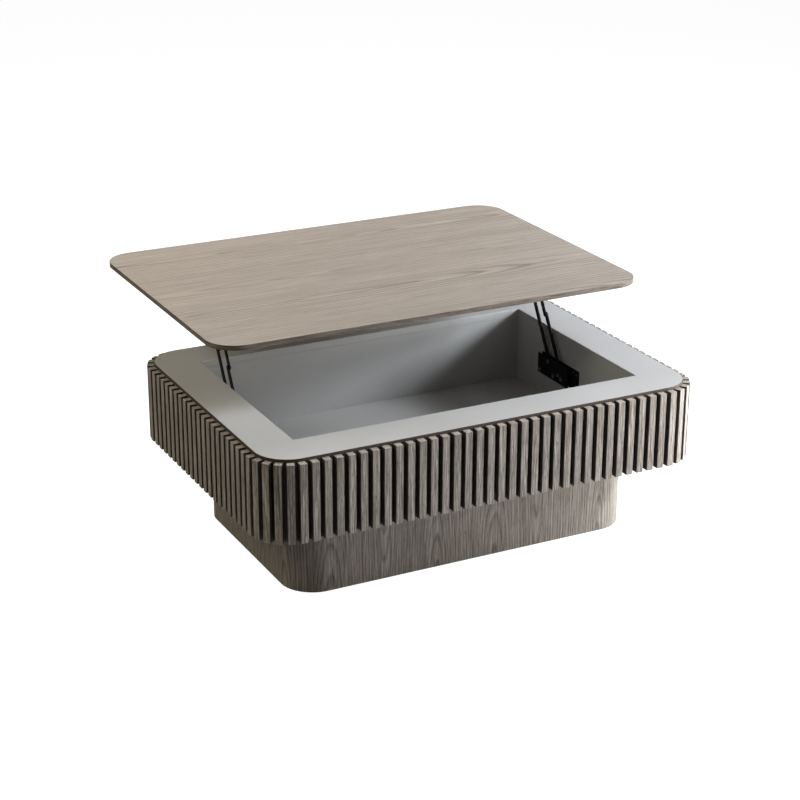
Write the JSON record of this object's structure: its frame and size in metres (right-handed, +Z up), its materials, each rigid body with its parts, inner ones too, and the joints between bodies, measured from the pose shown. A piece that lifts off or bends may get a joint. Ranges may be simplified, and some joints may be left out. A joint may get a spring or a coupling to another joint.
{
  "type": "lift top coffee table",
  "caption": "Low slatted storage coffee table whose rounded wooden top swings up and across on parallel steel arms, showing a deep rectangular well.",
  "frame": {"origin": "on the floor under the middle of the plinth, at the foot of the middle glide", "axes": "+X along the length, +Y the way the top shifts as it opens, +Z up; the rest pose is the open pose, with the top raised"},
  "size_m": [1.0004, 0.9163, 0.5027],
  "materials": {
    "slat_wood": "open-grain oak stained smoky grey-brown, matt",
    "plinth_veneer": "oak veneer stained smoky grey-brown, vertical grain, matt",
    "top_veneer": "light greige oak veneer with the grain along the length, matt",
    "top_edge": "darker brown wood edge banding, matt",
    "shell_veneer": "dark brown veneer, matt",
    "grey_lacquer": "light grey matt lacquer on board",
    "frame_wood": "plain softwood and board, unfinished",
    "glide_plastic": "black plastic glides",
    "bumper_rubber": "soft clear-grey bumper pads",
    "black_steel": "black powder-coated steel",
    "bright_steel": "zinc-plated steel"
  },
  "bodies": {
    "carcass": {"plinth_panel_front": "plinth_veneer", "plinth_panel_back": "plinth_veneer", "plinth_panel_left": "plinth_veneer", "plinth_panel_right": "plinth_veneer", "plinth_corners": "plinth_veneer", "plinth_middle_rail": "frame_wood", "plinth_blocks": "frame_wood", "floor_glides": "glide_plastic", "plinth_top_board": "frame_wood", "plinth_screws": "bright_steel", "wall_plate_left": "black_steel", "pivot_plate_left": "black_steel", "plate_screws_left": "bright_steel", "pivot_rivets_left": "bright_steel", "spacer_rivets_left": "bright_steel", "wall_plate_right": "black_steel", "pivot_plate_right": "black_steel", "plate_screws_right": "bright_steel", "pivot_rivets_right": "bright_steel", "spacer_rivets_right": "bright_steel", "box_bottom": "grey_lacquer", "well_wall_screws": "bright_steel", "well_wall_front": "grey_lacquer", "well_wall_back": "grey_lacquer", "well_wall_left": "grey_lacquer", "well_wall_right": "grey_lacquer", "shell_front": "shell_veneer", "shell_back": "shell_veneer", "shell_left": "shell_veneer", "shell_right": "shell_veneer", "shell_corners": "shell_veneer", "shell_ribs": "frame_wood", "rim_panel": "grey_lacquer", "rim_edge_band": "shell_veneer", "slats_front": "slat_wood", "slats_back": "slat_wood", "slats_left": "slat_wood", "slats_right": "slat_wood", "slats_corner_front_left": "slat_wood", "slats_corner_front_right": "slat_wood", "slats_corner_back_left": "slat_wood", "slats_corner_back_right": "slat_wood"},
    "arm_back_left_link": {"arm_back_left": "black_steel"},
    "arm_front_left_link": {"arm_front_left": "black_steel"},
    "arm_back_right_link": {"arm_back_right": "black_steel"},
    "arm_front_right_link": {"arm_front_right": "black_steel"},
    "lift_top": {"top_bracket_left": "black_steel", "top_screws_left": "bright_steel", "upper_rivets_left": "black_steel", "top_bracket_right": "black_steel", "top_screws_right": "bright_steel", "upper_rivets_right": "black_steel", "tabletop": "top_veneer", "tabletop_edge_band": "top_edge", "top_bumpers": "bumper_rubber"}
  },
  "joints": [
    {"name": "lift", "type": "hinge", "parent": "carcass", "child": "arm_back_left_link", "pos_m": [-0.3845, 0.0861, 0.267], "axis": [1, 0, 0], "range_deg": [0, 126.74]},
    {"name": "arm_front_left_swing", "type": "hinge", "parent": "carcass", "child": "arm_front_left_link", "pos_m": [-0.3845, 0.0305, 0.243], "axis": [1, 0, 0], "range_deg": [0, 126.74]},
    {"name": "arm_back_right_swing", "type": "hinge", "parent": "carcass", "child": "arm_back_right_link", "pos_m": [0.3845, 0.0861, 0.267], "axis": [1, 0, 0], "range_deg": [0, 126.74]},
    {"name": "arm_front_right_swing", "type": "hinge", "parent": "carcass", "child": "arm_front_right_link", "pos_m": [0.3845, 0.0305, 0.243], "axis": [1, 0, 0], "range_deg": [0, 126.74]},
    {"name": "top_level", "type": "hinge", "parent": "arm_back_left_link", "child": "lift_top", "pos_m": [-0.3845, 0.16145, 0.39751], "axis": [1, 0, 0], "range_deg": [-126.74, 0]}
  ],
  "couplings": [
    {"joint": "arm_front_left_swing", "follows": "lift", "ratio": 1},
    {"joint": "arm_back_right_swing", "follows": "lift", "ratio": 1},
    {"joint": "arm_front_right_swing", "follows": "lift", "ratio": 1},
    {"joint": "top_level", "follows": "lift", "ratio": -1}
  ]
}
